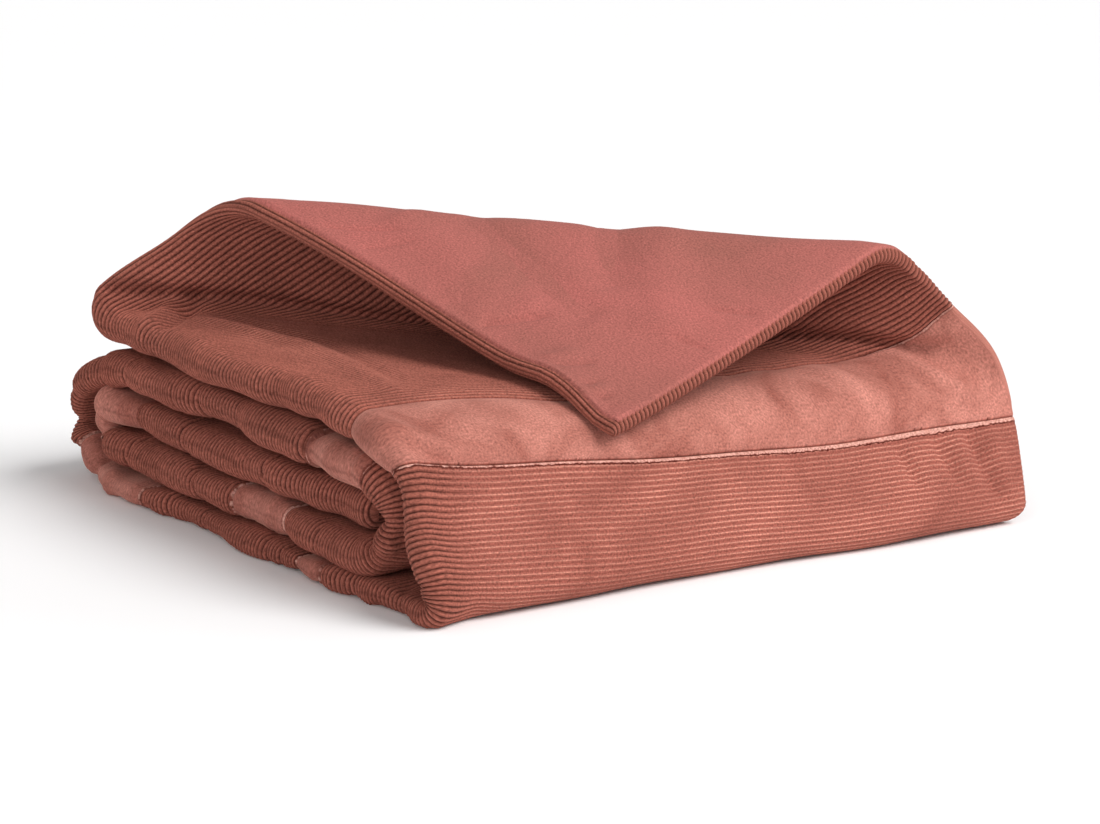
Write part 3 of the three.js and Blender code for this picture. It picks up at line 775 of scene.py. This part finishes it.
def corduroy_material():
    """Cotton corduroy: cut pile in raised wales with painted shade between them, and where the pile
    is worn flat only a painted highlight, a thin light line, on each crest. It is matt, with a faint
    sheen from the pile."""
    corduroy, shader = new_material("washed_cotton_corduroy", {
        "Roughness": 0.95, "Specular IOR Level": 0.15,
        "Sheen Weight": 0.25, "Sheen Roughness": 0.5, "Sheen Tint": "#c98a78",
    })
    cloth = add_node(corduroy, "Attribute", {}, "Vector", attribute_name="cloth")
    down = add_node(corduroy, "SeparateXYZ", {0: cloth}, "Y")
    turns = add_node(corduroy, "Math", {0: down, 1: math.pi / (WALE * MM)}, operation="MULTIPLY")
    wave = add_node(corduroy, "Math", {0: turns}, operation="SINE")
    ridge = add_node(corduroy, "Math", {0: wave}, operation="ABSOLUTE")
    fibre = add_node(corduroy, "TexNoise", {
        "Vector": cloth, "Scale": 1 / (PILE_GRAIN * MM), "Detail": 4.0, "Roughness": 0.6,
    }, "Fac")
    wash = add_node(corduroy, "TexNoise", {
        "Vector": cloth, "Scale": 1 / (CORDUROY_WASH * MM), "Detail": 4.0, "Roughness": 0.6,
        "Distortion": 0.8,
    }, "Fac")
    tufts = add_node(corduroy, "TexNoise", {
        "Vector": cloth, "Scale": 1 / (TUFT * MM), "Detail": 3.0, "Roughness": 0.6,
    }, "Fac")

    # Full pile: painted shade, dark in the groove and lighter up the wale, in uneven tufts
    slope = add_node(corduroy, "Math", {0: ridge, 1: 0.9}, operation="POWER")
    tufts = add_node(corduroy, "Math", {0: tufts, 1: 0.5, 2: -0.2}, operation="MULTIPLY_ADD")
    full = add_node(corduroy, "Math", {0: slope, 1: tufts}, operation="ADD")
    thick = add_node(corduroy, "Mix", {0: full, 6: "#33120d", 7: "#9b5a4c"}, 2, data_type="RGBA")

    # Worn pile: a painted highlight, a thin light line on the crest that fades in and out, and
    # painted shade in a shallow groove
    crest = add_node(corduroy, "Math", {0: ridge, 1: 12.0}, operation="POWER")
    faded = add_node(corduroy, "Math", {0: wash, 1: 2.2, 2: -0.5},
                     operation="MULTIPLY_ADD", use_clamp=True)
    crest = add_node(corduroy, "Math", {0: crest, 1: faded}, operation="MULTIPLY")
    groove = add_node(corduroy, "Math", {0: ridge, 1: -2.2, 2: 0.55},
                      operation="MULTIPLY_ADD", use_clamp=True)
    worn = add_node(corduroy, "Mix", {0: crest, 6: "#935347", 7: "#c28472"}, 2, data_type="RGBA")
    worn = add_node(corduroy, "Mix", {0: groove, 6: worn, 7: "#6c3428"}, 2, data_type="RGBA")

    # Where the pile is worn flat, the crest's painted highlight and the shallow groove's painted
    # shade replace the full pile's painted groove shade
    trim = add_node(corduroy, "Attribute", {}, "Vector", attribute_name="trim")
    wear = add_node(corduroy, "SeparateXYZ", {0: trim}, "Z")
    colour = add_node(corduroy, "Mix", {0: wear, 6: thick, 7: worn}, 2, data_type="RGBA")
    colour = shade(corduroy, shade(corduroy, colour, 2.4, fibre), 0.7, wash)
    pile = add_node(corduroy, "Math", {0: fibre, 1: 0.8, 2: ridge}, operation="MULTIPLY_ADD")
    finish_cloth(corduroy, shader, cloth, colour, pile, strength=0.6, depth=0.6)
    return corduroy


def velvet_material():
    """Cotton velvet: short dense pile that shows lighter or darker as it lies one way or another,
    with more sheen than the corduroy."""
    velvet, shader = new_material("cotton_velvet", {
        "Roughness": 0.85, "Specular IOR Level": 0.2,
        "Sheen Weight": 0.45, "Sheen Roughness": 0.35, "Sheen Tint": "#e0a896",
    })
    cloth = add_node(velvet, "Attribute", {}, "Vector", attribute_name="cloth")
    lie = add_node(velvet, "TexNoise", {
        "Vector": cloth, "Scale": 1 / (VELVET_LIE * MM), "Detail": 5.0, "Roughness": 0.6,
        "Distortion": 1.2,
    }, "Fac")
    fibre = add_node(velvet, "TexNoise", {
        "Vector": cloth, "Scale": 1 / (PILE_GRAIN * MM), "Detail": 4.0, "Roughness": 0.6,
    }, "Fac")
    lie = add_node(velvet, "Math", {0: lie, 1: 2.6, 2: -0.8},
                   operation="MULTIPLY_ADD", use_clamp=True)
    colour = add_node(velvet, "Mix", {0: lie, 6: "#8f5145", 7: "#bd7c6e"}, 2, data_type="RGBA")
    colour = shade(velvet, colour, 2.0, fibre)
    finish_cloth(velvet, shader, cloth, colour, fibre, strength=0.4, depth=0.5)
    return velvet


def lining_material():
    """Plain washed cotton: a close flat weave, matt, mottled by washing and softly crumpled."""
    cotton, shader = new_material("washed_plain_cotton", {
        "Roughness": 0.85, "Specular IOR Level": 0.25,
        "Sheen Weight": 0.15, "Sheen Tint": "#d8a094",
    })
    cloth = add_node(cotton, "Attribute", {}, "Vector", attribute_name="cloth")
    weave = add_node(cotton, "TexNoise", {
        "Vector": cloth, "Scale": 1 / (WEAVE_GRAIN * MM), "Detail": 4.0, "Roughness": 0.6,
    }, "Fac")
    wash = add_node(cotton, "TexNoise", {
        "Vector": cloth, "Scale": 1 / (COTTON_WASH * MM), "Detail": 4.0, "Roughness": 0.6,
        "Distortion": 0.6,
    }, "Fac")
    crumple = add_node(cotton, "TexNoise", {
        "Vector": cloth, "Scale": 1 / (COTTON_CRUMPLE * MM), "Detail": 6.0, "Roughness": 0.6,
        "Distortion": 0.8,
    }, "Fac")
    wash = add_node(cotton, "Math", {0: wash, 1: 2.4, 2: -0.7},
                    operation="MULTIPLY_ADD", use_clamp=True)
    colour = add_node(cotton, "Mix", {0: wash, 6: "#93574d", 7: "#ac6059"}, 2, data_type="RGBA")
    colour = shade(cotton, colour, 1.9, weave)
    soft = add_node(cotton, "Math", {0: weave, 1: 0.06, 2: crumple}, operation="MULTIPLY_ADD")
    finish_cloth(cotton, shader, cloth, colour, soft, strength=0.6, depth=2.5)
    return cotton


# The eiderdown

# Places across a ply: sparse ones are close only beside the fold and the hem, and fine ones also
# follow the folds of the top
sparse = np.array([
    FOLD_WIDTH, 11, 13.5, 17, 21, 26, 33, 42, 55, 72, 95,
    125, 160, 200, 240, 280, 315, 345, 370, 388, 396,
])
fine = np.concatenate([np.arange(FOLD_WIDTH, 150, 3.4), np.linspace(155, 398, 31)])
top_columns = section(fine, fine, sparse)
front_columns = section(np.arange(FOLD_WIDTH, 398, 3.2), sparse, sparse)
inner_columns = section(sparse, sparse, sparse)

# Lengths of the strip from seam to seam: name, both ends, columns, and the roundings of the ends
lengths = [
    ("quilt_top", 0.0, PANEL_ENDS[1], top_columns, OUTER_CAP, SEAM_CAP),
    ("quilt_front", PANEL_ENDS[1], PANEL_ENDS[2], front_columns, SEAM_CAP, SEAM_CAP),
    ("quilt_under", PANEL_ENDS[2], PANEL_ENDS[4], inner_columns, SEAM_CAP, SEAM_CAP),
    ("quilt_back", PANEL_ENDS[4], PANEL_ENDS[6], inner_columns, SEAM_CAP, SEAM_CAP),
    ("quilt_middle", PANEL_ENDS[6], PANEL_ENDS[10], inner_columns, SEAM_CAP, SEAM_CAP),
    ("quilt_inner", PANEL_ENDS[10], PANEL_ENDS[12], inner_columns, SEAM_CAP, INNER_CAP),
]
finishes = corduroy_material(), velvet_material(), lining_material()
for name, start, end, columns, first_cap, last_cap in lengths:
    piece = quilt_piece(name, start, end, columns, first_cap, last_cap)
    for material in finishes:
        piece.data.materials.append(material)
    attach(piece, "root")
    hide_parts("quilt")

# Linings: name, node, ply, where it starts past the valley line, and the spacing of its points
for name, node, ply, first, step in (
    ("turned_lining", "lining_turned", 1, 4.0, 1.25),
    ("lower_lining", "lining_lower", -1, 30.0, 2.5),
):
    piece = lining_piece(name, ply, first, step)
    piece.data.materials.append(finishes[COTTON])
    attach(piece, "root")
    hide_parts(node)

# The studio

# Sizes and places here are in metres. The camera looks down by its tilt and is turned from the
# front, both in degrees. Its focal length is in pixels of the frame and its sensor in millimetres.
FLOOR_SIZE = 8.0
CAMERA_PLACE = (-1.2369, -1.8153, 0.5801)
CAMERA_TILT, CAMERA_TURN = 13.56, -34.4
FOCAL_LENGTH, FRAME_WIDTH = 3900, 1100
SENSOR_WIDTH = 36
WORLD_STRENGTH = 0.37


def pale_floor():
    """A wide level floor under the eiderdown, painted almost white and matt."""
    bm = bmesh.new()
    bmesh.ops.create_grid(bm, x_segments=1, y_segments=1, size=FLOOR_SIZE)
    mesh = bpy.data.meshes.new("floor")
    bm.to_mesh(mesh)
    bm.free()
    floor = bpy.data.objects.new("floor", mesh)
    bpy.context.scene.collection.objects.link(floor)
    paint, _ = new_material("pale_paint", {"Base Color": "#fbfafa", "Roughness": 0.9})
    floor.data.materials.append(paint)


def add_light(name, kind, energy, azimuth, elevation, place=(0, 0, 0), **size):
    """A soft light that comes from an azimuth, counted from the front to the right, and an
    elevation, both in degrees."""
    data = bpy.data.lights.new(name, kind)
    data.energy = energy
    for key, value in size.items():
        setattr(data, key, value)
    light = bpy.data.objects.new(name, data)
    light.location = place
    light.rotation_euler = (math.radians(90 - elevation), 0, math.radians(azimuth))
    bpy.context.scene.collection.objects.link(light)


def pale_world():
    """Even white light from all round."""
    world = bpy.data.worlds.new("studio")
    world.use_nodes = True
    background = world.node_tree.nodes["Background"]
    background.inputs["Color"].default_value = (1, 1, 1, 1)
    background.inputs["Strength"].default_value = WORLD_STRENGTH
    bpy.context.scene.world = world


def photo_camera():
    """Camera at the photograph's viewing angle."""
    lens = bpy.data.cameras.new("camera")
    lens.sensor_width = SENSOR_WIDTH
    lens.lens = FOCAL_LENGTH / FRAME_WIDTH * SENSOR_WIDTH
    lens.clip_end = 50
    camera = bpy.data.objects.new("camera", lens)
    camera.location = CAMERA_PLACE
    camera.rotation_euler = (math.radians(90 - CAMERA_TILT), 0, math.radians(CAMERA_TURN))
    bpy.context.scene.collection.objects.link(camera)
    bpy.context.scene.camera = camera


pale_floor()
add_light("key", "SUN", 2.6, 30, 46, angle=math.radians(38))
add_light("fill", "SUN", 1.0, -62, 18, angle=math.radians(60))
add_light("right_glow", "AREA", 3.0, 46, 23, (0.85, -0.75, 0.45), size=0.6)
pale_world()
photo_camera()
bpy.context.scene.view_settings.view_transform = "Standard"
bpy.context.view_layer.update()
